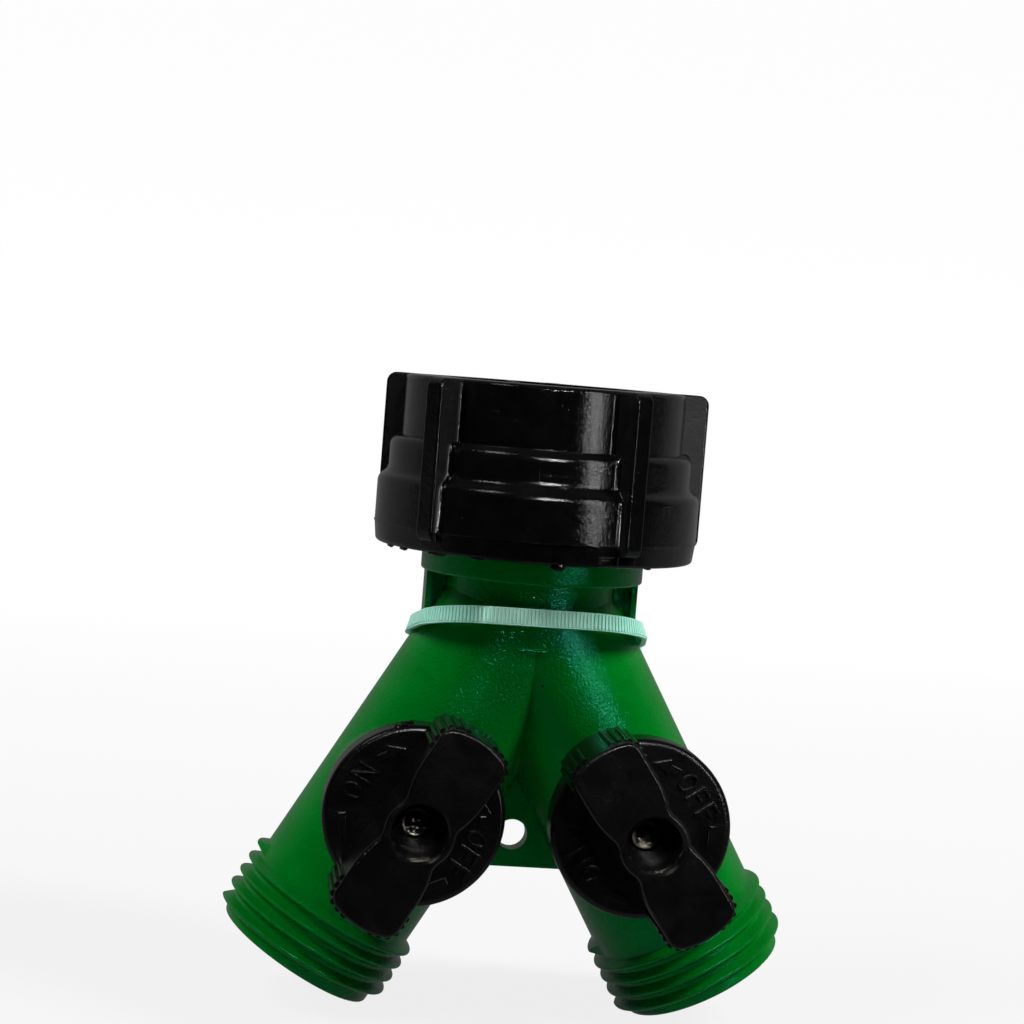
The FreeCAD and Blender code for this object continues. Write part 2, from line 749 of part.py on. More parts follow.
def tie_block(inset):
    """Block as wide as the band, in the tie's own frame: it spreads towards its back and its foot."""
    angle = math.radians(branch_angle)
    shoulder = branch_radius / math.cos(angle) + tie_drop * math.tan(angle)
    half_span = shoulder + tie_side_gap + tie_thickness - inset
    half_depth = tie_half_depth() - inset
    front_radius, back_radius = tie_front_corner - inset, tie_back_corner - inset
    wires = []
    for z in (-tie_width / 2, tie_width / 2):
        front = half_span - half_depth * tie_back_spread - z * tie_foot_spread
        back = half_span + half_depth * tie_back_spread - z * tie_foot_spread
        corners = [vec(-front, -half_depth, z), vec(front, -half_depth, z),
                   vec(back, half_depth, z), vec(-back, half_depth, z)]
        wires.append(rounded_outline(corners, (front_radius, front_radius,
                                               back_radius, back_radius)))
    return Part.makeLoft(wires, True, True)


def make_tie():
    band = tie_block(0).cut(tie_block(tie_thickness))
    head_end = tie_half_depth() - tie_thickness + tie_head_thickness
    head = Part.makeBox(tie_head_length, tie_head_thickness, tie_head_height,
                        vec(-tie_head_length / 2, head_end - tie_head_thickness,
                            -tie_head_height / 2))
    tail = Part.makeBox(tie_tail_length, tie_thickness, tie_width,
                        vec(0, head_end - tie_thickness, -tie_width / 2))
    tie = fused(band, head, tail)
    tie.rotate(vec(0, 0, 0), vec(1, 0, 0), -tie_tilt)
    tie.translate(vec(0, 0, -meet_depth - tie_drop))
    return tie


# ---- Build ----

def build():
    parts = {"swivel_nut": make_nut(), "inlet_washer": make_washer(), "y_body": make_body(),
             "neck_tie": make_tie()}
    fixed = {"inlet_seat": make_seat(1), "outlet_seat": make_seat(-1),
             "seat_retainer": make_retainer(), "bonnet": make_bonnet(),
             "bonnet_oring": make_bonnet_oring(), "stem_oring": make_stem_oring()}
    turning = {"ball": make_ball(), "stem": make_stem(), "knob": make_knob(),
               "knob_screw": make_screw()}
    for side in sides:
        for name, shape in fixed.items():
            parts[side + "_" + name] = in_valve(shape, side)
        for name, shape in turning.items():
            parts[side + "_" + name] = in_valve(shape, side, turned=True)
    return parts


os.makedirs("parts", exist_ok=True)
for name, shape in build().items():
    print("%-20s solids %d valid %s volume %.1f" % (name, len(shape.Solids), shape.isValid(),
                                                  shape.Volume))
    shape.exportStep("parts/" + name + ".step")
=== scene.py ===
import json
import math
import random

import bmesh
import bpy
from mathutils import Matrix, Vector


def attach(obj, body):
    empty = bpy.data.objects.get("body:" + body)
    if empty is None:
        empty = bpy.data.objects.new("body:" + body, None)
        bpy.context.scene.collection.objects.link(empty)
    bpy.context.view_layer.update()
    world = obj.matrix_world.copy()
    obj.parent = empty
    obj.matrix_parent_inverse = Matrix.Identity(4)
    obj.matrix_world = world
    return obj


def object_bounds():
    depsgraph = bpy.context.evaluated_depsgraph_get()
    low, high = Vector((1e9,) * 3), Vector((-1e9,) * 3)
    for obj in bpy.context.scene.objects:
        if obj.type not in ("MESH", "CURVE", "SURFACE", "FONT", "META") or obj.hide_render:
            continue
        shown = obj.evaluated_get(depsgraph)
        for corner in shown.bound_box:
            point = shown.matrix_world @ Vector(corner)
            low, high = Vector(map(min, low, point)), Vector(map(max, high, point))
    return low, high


# Hose splitter with two lever valves. The solids come from the frame; this script gives them their
# finishes and adds the moulded words, the ribs of the neck tie, the roots of the nut's wings and the
# small faults of the moulding. Metres, +Z up the inlet, the knobs face -Y. The numbers in the
# dictionaries of the pieces are millimetres and degrees.

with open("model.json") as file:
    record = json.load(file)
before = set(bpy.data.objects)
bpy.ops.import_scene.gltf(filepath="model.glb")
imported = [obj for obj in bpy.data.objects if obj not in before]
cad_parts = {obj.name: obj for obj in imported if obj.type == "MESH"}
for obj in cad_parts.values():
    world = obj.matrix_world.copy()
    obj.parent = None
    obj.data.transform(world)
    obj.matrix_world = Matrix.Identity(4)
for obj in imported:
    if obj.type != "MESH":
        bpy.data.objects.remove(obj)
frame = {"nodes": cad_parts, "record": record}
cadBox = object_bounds()
nodes = frame["nodes"]
mm = 0.001

splitter = {
    "branchAngle": 30.0,       # each side of the inlet's axis
    "meetDepth": 32.6,         # where the branch axes meet, below the nut's mouth
    "valveOffset": 31.4,       # from there to each valve's centre
    "restTurn": {"left": 0.0, "right": 5.5},   # degrees that each knob stands off fully open
}


def valveCentre(side):
    lean = math.radians(splitter["branchAngle"])
    sign = -1 if side == "left" else 1
    return Vector((sign * math.sin(lean) * splitter["valveOffset"], 0,
                   -splitter["meetDepth"] - math.cos(lean) * splitter["valveOffset"])) * mm


# how far the lever stands off upright, clockwise from the front, in degrees
def leverTurn(side):
    lean = splitter["branchAngle"] if side == "left" else -splitter["branchAngle"]
    return lean - splitter["restTurn"][side]


# Shader helpers

# a node whose inputs are each linked to a socket or set to a value
def addNode(tree, kind, inputs, **settings):
    node = tree.nodes.new(kind)
    for key, value in settings.items():
        setattr(node, key, value)
    for key, value in inputs.items():
        if isinstance(value, bpy.types.NodeSocket):
            tree.links.new(value, node.inputs[key])
        else:
            node.inputs[key].default_value = value
    return node


def sums(tree, operation, *values, clamp=False):
    node = addNode(tree, "ShaderNodeMath", dict(enumerate(values)), operation=operation,
                   use_clamp=clamp)
    return node.outputs[0]


def remap(tree, value, low, high, toLow=0.0, toHigh=1.0):
    inputs = {"Value": value, "From Min": low, "From Max": high, "To Min": toLow, "To Max": toHigh}
    return addNode(tree, "ShaderNodeMapRange", inputs, clamp=True).outputs["Result"]


def noise(tree, place, scale, detail=2.0, roughness=0.5, distortion=0.0):
    inputs = {"Vector": place, "Scale": scale, "Detail": detail, "Roughness": roughness,
              "Distortion": distortion}
    return addNode(tree, "ShaderNodeTexNoise", inputs).outputs["Fac"]


# low and high: a colour of three numbers, or a socket
def mixColour(tree, mask, low, high):
    low, high = (value if isinstance(value, bpy.types.NodeSocket) else (*value, 1)
                 for value in (low, high))
    return addNode(tree, "ShaderNodeMix", {0: mask, 6: low, 7: high}, data_type="RGBA").outputs[2]


directRays = ("Is Camera Ray", "Is Transmission Ray")
glossRays = ("Is Glossy Ray",)


# 1 for a ray of any of these kinds, 0 for the others
def rayShare(tree, kinds):
    path = tree.nodes.new("ShaderNodeLightPath")
    total = path.outputs[kinds[0]]
    for kind in kinds[1:]:
        total = sums(tree, "MAXIMUM", total, path.outputs[kind])
    return total


# Camera and light

camera = {
    "place": (-0.042587, -0.331764, 0.003418),
    "turn": (86.215, -4.5314, -6.4217),      # degrees
    "lens": 82.23, "sensor": 36, "near": 0.01, "far": 20,
}


def addCamera():
    turn = [math.radians(angle) for angle in camera["turn"]]
    bpy.ops.object.camera_add(location=camera["place"], rotation=turn)
    view = bpy.context.object
    view.name = "camera"
    view.data.lens = camera["lens"]
    view.data.sensor_width = camera["sensor"]
    view.data.clip_start = camera["near"]
    view.data.clip_end = camera["far"]
    bpy.context.scene.camera = view


lamps = {
    # name: place, width, height, watts, whether it lights the colour and shows in the gloss
    "topRight": ((0.36, -0.15, 0.36), 0.12, 0.24, 4.2, (True, False)),
    "topLeft": ((-0.36, -0.12, 0.36), 0.20, 0.24, 2.5, (True, False)),
    "left": ((-0.55, -0.04, 0.00), 0.10, 0.40, 0.12, (True, False)),
    "rear": ((0.25, 0.45, 0.40), 0.30, 0.30, 1.6, (True, False)),
    "strip": ((0.268, -0.398, 0.10), 0.009, 0.34, 0.63, (False, True)),
    "front": ((0.02, -0.50, 0.19), 0.045, 0.04, 1.15, (False, True)),
    "softbox": ((-0.28, -0.24, 0.36), 0.08, 0.08, 0.20, (False, True)),
}
lampsAim = (0, 0, -0.045)
# how bright the surround is where it is seen, and how strongly it lights the colour
surround = {"seen": 1.0, "light": 0.03}


def addLamps():
    target = Vector(lampsAim)
    for name, (place, width, height, watts, (colour, gloss)) in lamps.items():
        place = Vector(place)
        turn = (target - place).to_track_quat("-Z", "Y").to_euler()
        bpy.ops.object.light_add(type="AREA", location=place, rotation=turn)
        lamp = bpy.context.object
        lamp.name = name
        lamp.data.shape = "RECTANGLE"
        lamp.data.size = width
        lamp.data.size_y = height
        lamp.data.energy = watts
        lamp.visible_diffuse = colour
        lamp.visible_glossy = gloss


def addSurround():
    world = bpy.data.worlds.new("surround")
    bpy.context.scene.world = world
    world.use_nodes = True
    tree = world.node_tree
    tree.nodes.clear()
    # it lights the colour only, so it leaves the gloss alone
    fill = sums(tree, "MULTIPLY_ADD", rayShare(tree, glossRays), -surround["light"], surround["light"])
    lit = addNode(tree, "ShaderNodeBackground", {"Strength": fill})
    seen = addNode(tree, "ShaderNodeBackground", {"Strength": surround["seen"]})
    mix = addNode(tree, "ShaderNodeMixShader", {
        "Fac": rayShare(tree, directRays), 1: lit.outputs["Background"], 2: seen.outputs["Background"]})
    addNode(tree, "ShaderNodeOutputWorld", {"Surface": mix.outputs["Shader"]})


# Pale paper that lies under the splitter and curves up behind it

sweep = {
    "width": 3.0, "front": -1.5, "back": 0.70, "bend": 0.35, "bendSteps": 14, "height": 1.2,
    "gap": 0.0002,                 # below the splitter
    "colour": (0.52, 0.52, 0.52),
    "roughness": 0.9,
    "glow": 0.84,                  # how white it is beside the splitter
    "whiten": (0.05, 0.45),        # from here back it grows fully white
    "mirrored": 0.17,              # how bright it is in the gloss
    "nearEdge": (-0.075, -0.065),  # nearer than this it leaves the gloss alone
}


def addSweep():
    low = cadBox[0][2] - sweep["gap"]
    depth = sweep["back"] - sweep["front"]
    bpy.ops.mesh.primitive_plane_add(size=1, location=(0, sweep["front"] + depth / 2, low))
    floor = bpy.context.object
    floor.name = "floor"
    floor.scale = (sweep["width"], depth, 1)
    bpy.ops.object.transform_apply(location=True, rotation=False, scale=True)
    bpy.ops.object.mode_set(mode="EDIT")
    bpy.ops.mesh.select_mode(type="EDGE")
    bpy.ops.mesh.select_all(action="DESELECT")
    paper = bmesh.from_edit_mesh(floor.data)
    for edge in paper.edges:
        edge.select_set(all(v.co.y > sweep["back"] - mm for v in edge.verts))
    bmesh.update_edit_mesh(floor.data)
    bpy.ops.mesh.spin(steps=sweep["bendSteps"], angle=math.pi / 2, axis=(1, 0, 0),
                      center=(0, sweep["back"], low + sweep["bend"]))
    bpy.ops.mesh.extrude_region_move(TRANSFORM_OT_translate={"value": (0, 0, sweep["height"])})
    bpy.ops.object.mode_set(mode="OBJECT")
    bpy.ops.object.shade_smooth()
    floor.data.materials.append(makePaper())


# white to the camera, apart from the shadow, and a dimmer grey in the gloss
def makePaper():
    material = bpy.data.materials.new("palePaper")
    material.use_nodes = True
    tree = material.node_tree
    shader = tree.nodes["Principled BSDF"]
    shader.inputs["Base Color"].default_value = (*sweep["colour"], 1)
    shader.inputs["Roughness"].default_value = sweep["roughness"]
    shader.inputs["Specular IOR Level"].default_value = 0.0
    gloss = rayShare(tree, glossRays)
    direct = rayShare(tree, directRays)
    place = tree.nodes.new("ShaderNodeTexCoord").outputs["Object"]
    back = addNode(tree, "ShaderNodeSeparateXYZ", {0: place}).outputs["Y"]
    white = remap(tree, back, *sweep["whiten"], sweep["glow"], 1.0)
    share = sums(tree, "MULTIPLY_ADD", direct, white, gloss, clamp=True)
    level = remap(tree, back, *sweep["nearEdge"], 0.0, sweep["mirrored"])
    strength = sums(tree, "MULTIPLY_ADD", gloss, sums(tree, "SUBTRACT", level, 1.0), 1.0)
    glow = addNode(tree, "ShaderNodeEmission", {"Strength": strength})
    mix = addNode(tree, "ShaderNodeMixShader", {
        "Fac": share, 1: shader.outputs["BSDF"], 2: glow.outputs["Emission"]})
    tree.links.new(mix.outputs["Shader"], tree.nodes["Material Output"].inputs["Surface"])
    return material


# Shared surface effects, as node groups

# a group that takes the place and some numbers, and gives numbers back
def newGroup(name, inputs, outputs):
    tree = bpy.data.node_groups.new(name, "ShaderNodeTree")
    tree.interface.new_socket(name="Place", in_out="INPUT", socket_type="NodeSocketVector")
    for label in inputs:
        tree.interface.new_socket(name=label, in_out="INPUT", socket_type="NodeSocketFloat")
    for label in outputs:
        tree.interface.new_socket(name=label, in_out="OUTPUT", socket_type="NodeSocketFloat")
    return tree, tree.nodes.new("NodeGroupInput"), tree.nodes.new("NodeGroupOutput")


# round spots in the few cells whose random colour passes the share
def spots(tree, place, look):
    cells = addNode(tree, "ShaderNodeTexVoronoi", {"Vector": place, "Scale": look["scale"]},
                    feature="F1")
    split = addNode(tree, "ShaderNodeSeparateColor", {0: cells.outputs["Color"]})
    rare = remap(tree, split.outputs[look["channel"]], *look["share"])
    return sums(tree, "MULTIPLY", remap(tree, cells.outputs["Distance"], *look["size"]), rare)


grainLook = {
    # detail, roughness and distortion of each noise
    "grain": (3.0, 0.6), "wave": (3.0, 0.55, 0.4),
    "pits": {"scale": 420.0, "channel": "Red", "share": (0.93, 0.95), "size": (0.16, 0.05)},
    "pitHeight": -0.6,
}


# fine pebbled skin of a moulded part, with a slow unevenness and sparse pits
def makeMouldGrain():
    tree, given, result = newGroup("mouldGrain", ("Grain Scale", "Wave Scale", "Grain", "Wave"),
                                   ("Height", "Mottle"))
    place = given.outputs["Place"]
    grain = noise(tree, place, given.outputs["Grain Scale"], *grainLook["grain"])
    wave = noise(tree, place, given.outputs["Wave Scale"], *grainLook["wave"])
    pits = spots(tree, place, grainLook["pits"])
    height = sums(tree, "MULTIPLY", grain, given.outputs["Grain"])
    height = sums(tree, "MULTIPLY_ADD", wave, given.outputs["Wave"], height)
    height = sums(tree, "MULTIPLY_ADD", pits, grainLook["pitHeight"], height)
    tree.links.new(height, result.inputs["Height"])
    tree.links.new(wave, result.inputs["Mottle"])
    return tree


handlingLook = {
    # turn and stretch of each set of hairlines
    "hairlines": (((0.3, 0.9, 0.4), (1, 40, 1)), ((1.2, 0.2, 1.9), (1, 1, 46))),
    # scale, detail, roughness and distortion of each noise
    "hairlineNoise": (60.0, 1.0, 0.4), "breakNoise": (170.0, 2.0), "scuffNoise": (75.0, 5.0, 0.7, 1.2),
    "hairlineLevel": 0.62, "hairlineWidth": (0.010, 0.004),
    "breakShare": (0.62, 0.68), "scuffShare": (0.55, 0.75),
    "dust": {"scale": 1500.0, "channel": "Green", "share": (0.975, 0.985), "size": (0.16, 0.06)},
}


# hairline scratches, scuffs and dust that a part gathers in its box and on the shelf
def makeHandling():
    look = handlingLook
    tree, given, result = newGroup("handling", (), ("Scratches", "Scuffs", "Dust"))
    place = given.outputs["Place"]
    sets = []
    for turn, stretch in look["hairlines"]:
        turned = addNode(tree, "ShaderNodeMapping",
                         {"Vector": place, "Rotation": turn, "Scale": stretch}).outputs[0]
        strand = noise(tree, turned, *look["hairlineNoise"])
        strand = sums(tree, "ABSOLUTE", sums(tree, "SUBTRACT", strand, look["hairlineLevel"]))
        sets.append(remap(tree, strand, *look["hairlineWidth"]))
    lines = sums(tree, "MAXIMUM", *sets)
    broken = remap(tree, noise(tree, place, *look["breakNoise"]), *look["breakShare"])
    tree.links.new(sums(tree, "MULTIPLY", lines, broken), result.inputs["Scratches"])
    scuffs = remap(tree, noise(tree, place, *look["scuffNoise"]), *look["scuffShare"])
    tree.links.new(scuffs, result.inputs["Scuffs"])
    tree.links.new(spots(tree, place, look["dust"]), result.inputs["Dust"])
    return tree


# Finishes

finishes = {
    # base and deep: the two colours that the skin varies between; worn: where it is scratched;
    # grain and wave: height of the fine and of the slow unevenness; relief and depth: strength and
    # distance of the bump; sheen: tint of the gloss; wings: how much rougher the wings' flat sides are
    "bodyPlastic": {
        "slot": "body_plastic", "base": (0.0, 0.165, 0.012), "deep": (0.0, 0.138, 0.009),
        "worn": (0.03, 0.30, 0.07), "roughness": (0.11, 0.16), "grainScale": 2600.0,
        "waveScale": 120.0, "grain": 1.0, "wave": 0.3, "relief": 0.72, "depth": 0.00012,
        "specular": 0.60, "sheen": (0.08, 1.0, 0.66), "scratch": 0.12, "scuff": 0.10, "dust": 0.3,
        "dustColour": (0.12, 0.40, 0.16)},
    "nutPlastic": {
        "slot": "nut_plastic", "base": (0.0036, 0.0036, 0.0040), "deep": (0.0024, 0.0024, 0.0027),
        "worn": (0.05, 0.05, 0.055), "roughness": (0.07, 0.13), "grainScale": 2600.0,
        "waveScale": 430.0, "grain": 0.9, "wave": 0.9, "relief": 0.38, "depth": 0.00012,
        "specular": 0.4, "scratch": 0.4, "scuff": 0.25, "dust": 0.4, "dustColour": (0.10, 0.10, 0.10),
        "wings": 0.35},
    "knobPlastic": {
        "slot": "knob_plastic", "base": (0.0026, 0.0024, 0.0026), "deep": (0.0020, 0.0018, 0.0020),
        "worn": (0.06, 0.056, 0.05), "roughness": (0.20, 0.28), "grainScale": 2900.0,
        "waveScale": 200.0, "grain": 1.0, "wave": 0.3, "relief": 0.34, "depth": 0.00012,
        "specular": 0.42, "scratch": 0.12, "scuff": 0.08, "dust": 0.5, "dustColour": (0.12, 0.11, 0.11)},
    "tieNylon": {
        "slot": "tie_nylon", "base": (0.40, 0.84, 0.67), "deep": (0.34, 0.76, 0.59),
        "worn": (0.62, 0.86, 0.76), "roughness": (0.28, 0.40), "grainScale": 3600.0,
        "waveScale": 260.0, "grain": 0.5, "wave": 0.6, "relief": 0.12, "depth": 0.0001,
        "specular": 0.7, "sheen": (0.55, 1.0, 0.80), "scratch": 0.3, "scuff": 0.1, "dust": 0.2,
        "dustColour": (0.5, 0.5, 0.45), "subsurface": 0.35},
    "platedSteel": {
        "slot": "plated_steel", "base": (0.90, 0.86, 0.74), "deep": (0.40, 0.38, 0.32),
        "worn": (0.85, 0.84, 0.80), "roughness": (0.04, 0.08), "grainScale": 4200.0,
        "waveScale": 1300.0, "grain": 0.1, "wave": 1.0, "relief": 0.4, "depth": 0.0003,
        "specular": 0.5, "scratch": 0.5, "scuff": 0.2, "dust": 0.0, "dustColour": (0.4, 0.4, 0.4),
        "metal": 1.0},
    "sealRubber": {
        "slot": "seal_rubber", "base": (0.020, 0.020, 0.021), "deep": (0.014, 0.014, 0.015),
        "worn": (0.06, 0.06, 0.06), "roughness": (0.62, 0.80), "grainScale": 2400.0,
        "waveScale": 300.0, "grain": 1.0, "wave": 0.5, "relief": 0.25, "depth": 0.00014,
        "specular": 0.35, "scratch": 0.1, "scuff": 0.4, "dust": 1.0, "dustColour": (0.25, 0.24, 0.22)},
    "innerPlastic": {
        "slot": "inner_plastic", "base": (0.60, 0.60, 0.575), "deep": (0.50, 0.50, 0.475),
        "worn": (0.7, 0.7, 0.68), "roughness": (0.30, 0.44), "grainScale": 2400.0,
        "waveScale": 200.0, "grain": 0.6, "wave": 0.5, "relief": 0.12, "depth": 0.0001,
        "specular": 0.5, "scratch": 0.2, "scuff": 0.2, "dust": 0.3, "dustColour": (0.35, 0.34, 0.3),
        "subsurface": 0.10},
}


# 1 on the flat sides of the nut's wings, which are textured. A wave round the nut's axis gives how
# far a place is from the nearest wing's middle plane.
def wingShare(tree, place):
    axes = addNode(tree, "ShaderNodeSeparateXYZ", {0: place})
    x, y = axes.outputs["X"], axes.outputs["Y"]
    half = wing["count"] / 2
    around = sums(tree, "ARCTAN2", x, sums(tree, "MULTIPLY", y, -1.0))
    beat = sums(tree, "MULTIPLY_ADD", around, half, -half * math.radians(wing["phase"]))
    beat = sums(tree, "ABSOLUTE", sums(tree, "SINE", beat))
    radius = sums(tree, "POWER", sums(tree, "MULTIPLY_ADD", x, x, sums(tree, "MULTIPLY", y, y)), 0.5)
    away = sums(tree, "MULTIPLY", sums(tree, "MULTIPLY", beat, radius), 1 / half)
    aside = sums(tree, "ABSOLUTE", sums(tree, "SUBTRACT", away, wing["thickness"] / 2 * mm))
    flat = remap(tree, aside, *[edge * mm for edge in wing["skin"]])
    inside = remap(tree, radius, *[edge * mm for edge in wing["skinEnd"]])
    return sums(tree, "MULTIPLY", flat, inside)


mixing = {
    "colourMottle": (0.35, 0.65), "roughMottle": (0.3, 0.7),
    "roughened": 0.3,             # by a scuff or by dust
    "scratchHeight": -0.5, "dustHeight": 0.6,
    "depthInside": 0.0012, "spreadInside": (1.0, 1.1, 0.9),     # of light under the skin
}


def makeFinish(name, look, grainGroup, handlingGroup):
    material = bpy.data.materials.new(name)
    material.use_nodes = True
    tree = material.node_tree
    shader = tree.nodes["Principled BSDF"]
    place = tree.nodes.new("ShaderNodeTexCoord").outputs["Object"]
    skin = addNode(tree, "ShaderNodeGroup", {
        "Place": place, "Grain Scale": look["grainScale"], "Wave Scale": look["waveScale"],
        "Grain": look["grain"], "Wave": look["wave"]}, node_tree=grainGroup)
    wear = addNode(tree, "ShaderNodeGroup", {"Place": place}, node_tree=handlingGroup)
    scratch = sums(tree, "MULTIPLY", wear.outputs["Scratches"], look["scratch"])
    scuff = sums(tree, "MULTIPLY", wear.outputs["Scuffs"], look["scuff"])
    dust = sums(tree, "MULTIPLY", wear.outputs["Dust"], look["dust"])
    mottle = skin.outputs["Mottle"]
    colour = mixColour(tree, remap(tree, mottle, *mixing["colourMottle"]), look["deep"], look["base"])
    colour = mixColour(tree, scratch, colour, look["worn"])
    colour = mixColour(tree, dust, colour, look["dustColour"])
    rough = remap(tree, mottle, *mixing["roughMottle"], *look["roughness"])
    if "wings" in look:
        rough = sums(tree, "MULTIPLY_ADD", wingShare(tree, place), look["wings"], rough)
    rough = sums(tree, "MULTIPLY_ADD", scuff, mixing["roughened"], rough)
    rough = sums(tree, "MULTIPLY_ADD", dust, mixing["roughened"], rough, clamp=True)
    height = sums(tree, "MULTIPLY_ADD", scratch, mixing["scratchHeight"], skin.outputs["Height"])
    height = sums(tree, "MULTIPLY_ADD", dust, mixing["dustHeight"], height)
    bump = addNode(tree, "ShaderNodeBump", {
        "Strength": look["relief"], "Distance": look["depth"], "Height": height})
    tree.links.new(colour, shader.inputs["Base Color"])
    tree.links.new(rough, shader.inputs["Roughness"])
    tree.links.new(bump.outputs["Normal"], shader.inputs["Normal"])
    shader.inputs["Specular IOR Level"].default_value = look["specular"]
    shader.inputs["Specular Tint"].default_value = (*look.get("sheen", (1, 1, 1)), 1)
    shader.inputs["Metallic"].default_value = look.get("metal", 0.0)
    if "subsurface" in look:
        shader.inputs["Subsurface Weight"].default_value = look["subsurface"]
        shader.inputs["Subsurface Scale"].default_value = mixing["depthInside"]
        shader.inputs["Subsurface Radius"].default_value = mixing["spreadInside"]
    return material


# Modelling helpers

def clearSelection():
    if bpy.context.object and bpy.context.object.mode != "OBJECT":
        bpy.ops.object.mode_set(mode="OBJECT")
    bpy.ops.object.select_all(action="DESELECT")


def pick(*objects):
    clearSelection()
    for item in objects:
        item.select_set(True)
    bpy.context.view_layer.objects.active = objects[0]


# puts an object's place into its mesh, so that it sits at the origin, unturned
def settle(item, matrix):
    item.data.transform(matrix)
    item.matrix_world = Matrix.Identity(4)


# edit mode, with only the faces that pass the test selected
def editFaces(item, test):
    pick(item)
    bpy.ops.object.mode_set(mode="EDIT")
    bpy.ops.mesh.select_mode(type="FACE")
    bpy.ops.mesh.select_all(action="DESELECT")
    shape = bmesh.from_edit_mesh(item.data)
    for face in shape.faces:
        face.select_set(bool(test(face)))
    bmesh.update_edit_mesh(item.data)


def facesOut(item):
    editFaces(item, lambda face: True)
    bpy.ops.mesh.normals_make_consistent(inside=False)
    bpy.ops.object.mode_set(mode="OBJECT")


def bevelled(item, width, segments=2):
    pick(item)
    edge = item.modifiers.new("edge", "BEVEL")
    edge.width = width * mm
    edge.segments = segments
    bpy.ops.object.modifier_apply(modifier=edge.name)


def smoothed(item, degrees):
    pick(item)
    bpy.ops.object.shade_smooth_by_angle(angle=math.radians(degrees))


def copyOf(item, matrix):
    twin = item.copy()
    twin.data = item.data.copy()
    bpy.context.scene.collection.objects.link(twin)
    settle(twin, matrix)
    return twin


def join(items, name):
    pick(*items)
    if len(items) > 1:
        bpy.ops.object.join()
    whole = bpy.context.object
    whole.name = name
    return whole


def dress(piece, material, body):
    piece.data.materials.clear()
    piece.data.materials.append(material)
    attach(piece, body)


# Words and arrows on the knobs

marks = {
    "face": 18.4,            # front of the knob's disc, from the branch's axis
    "raised": 0.38,          # above the disc
    "sunk": 0.06,            # into the disc
    "edge": 0.09,            # width of the bevel
    "edgeSteps": 1, "curveSteps": 6,
    "capital": 0.7,          # height of a capital over the size of the type
    "taper": (0.92, 0.95),   # of an arrow's top, across and along
    # letter, its middle beside and along the lever, its height and width
    "letters": (("O", -9.05, -1.45, 2.9, 2.0), ("N", -9.05, 1.4, 3.3, 2.1),
                ("O", 8.85, 2.15, 3.0, 1.95), ("F", 8.95, -0.25, 3.2, 1.75),
                ("F", 8.95, -2.75, 3.2, 1.75)),
    # block, its middle beside and along the lever on the right half, its heading, length and width
    "arrows": (("head", 7.3, 6.03, 41.4, 2.5, 2.4), ("bar", 8.19, 4.6, 31.6, 1.7, 1.14),
               ("bar", 7.62, -6.17, -36.5, 3.6, 1.15)),
}


# frame on the knob's disc: X to the lever's right, Y along the lever, Z to the front
def knobPlace(side):
    turn = math.radians(leverTurn(side))
    right = Vector((math.cos(turn), 0, -math.sin(turn)))
    along = Vector((math.sin(turn), 0, math.cos(turn)))
    front = Vector((0, -1, 0))
    centre = valveCentre(side) + front * marks["face"] * mm
    return Matrix.Translation(centre) @ Matrix((right, along, front)).transposed().to_4x4()


# a letter or block onto the disc, at its place beside and along the lever
def setOnDisc(item, x, y, turn, side, fit=Matrix.Identity(4)):
    lift = (marks["raised"] - marks["sunk"]) / 2
    settle(item, knobPlace(side) @ Matrix.Translation(Vector((x, y, lift)) * mm)
           @ Matrix.Rotation(math.radians(turn), 4, "Z") @ fit)


def addLetter(letter, x, y, height, width, side):
    clearSelection()
    bpy.ops.object.text_add(location=(0, 0, 0))
    text = bpy.context.object
    text.data.body = letter
    text.data.size = height / marks["capital"] * mm
    text.data.extrude = (marks["raised"] + marks["sunk"]) / 2 * mm
    text.data.bevel_depth = marks["edge"] * mm
    text.data.bevel_resolution = marks["edgeSteps"]
    text.data.resolution_u = marks["curveSteps"]
    text.data.offset = -marks["edge"] * mm
    bpy.ops.object.convert(target="MESH")
    text = bpy.context.object
    low, high = Vector(text.bound_box[0]), Vector(text.bound_box[6])     # opposite corners
    middle, span = (low + high) / 2, high - low
    fit = Matrix.Diagonal((width * mm / span.x, height * mm / span.y, 1, 1))
    setOnDisc(text, x, y, 90 if x < 0 else -90, side, fit @ Matrix.Translation(-middle))
    return text


def addBlock(kind, x, y, heading, length, width, side):
    clearSelection()
    tall = marks["raised"] + marks["sunk"]
    if kind == "head":       # three corners one unit from the middle: sqrt(3) wide and 1.5 long
        bpy.ops.mesh.primitive_cylinder_add(vertices=3, radius=1, depth=1)
        size = Vector((width / math.sqrt(3), length / 1.5, tall))
    else:
        bpy.ops.mesh.primitive_cube_add(size=1)
        size = Vector((width, length, tall))
    block = bpy.context.object
    block.scale = size * mm
    bpy.ops.object.transform_apply(location=False, rotation=False, scale=True)
    editFaces(block, lambda face: face.normal.z > 0.9)      # its top
    bpy.ops.transform.resize(value=(*marks["taper"], 1))
    bpy.ops.object.mode_set(mode="OBJECT")
    bevelled(block, marks["edge"])
    setOnDisc(block, x, y, heading, side)
    return block


def addKnobMarks(side, material):
    items = [addLetter(*letter, side) for letter in marks["letters"]]
    for kind, x, y, heading, length, width in marks["arrows"]:
        items.append(addBlock(kind, x, y, heading, length, width, side))
        items.append(addBlock(kind, -x, y, -heading, length, width, side))
    words = join(items, side + "_knob_words")
    words.data.polygons.foreach_set("use_smooth", [False] * len(words.data.polygons))
    dress(words, material, side + "_valve")


# Fillets along the roots of the nut's wings

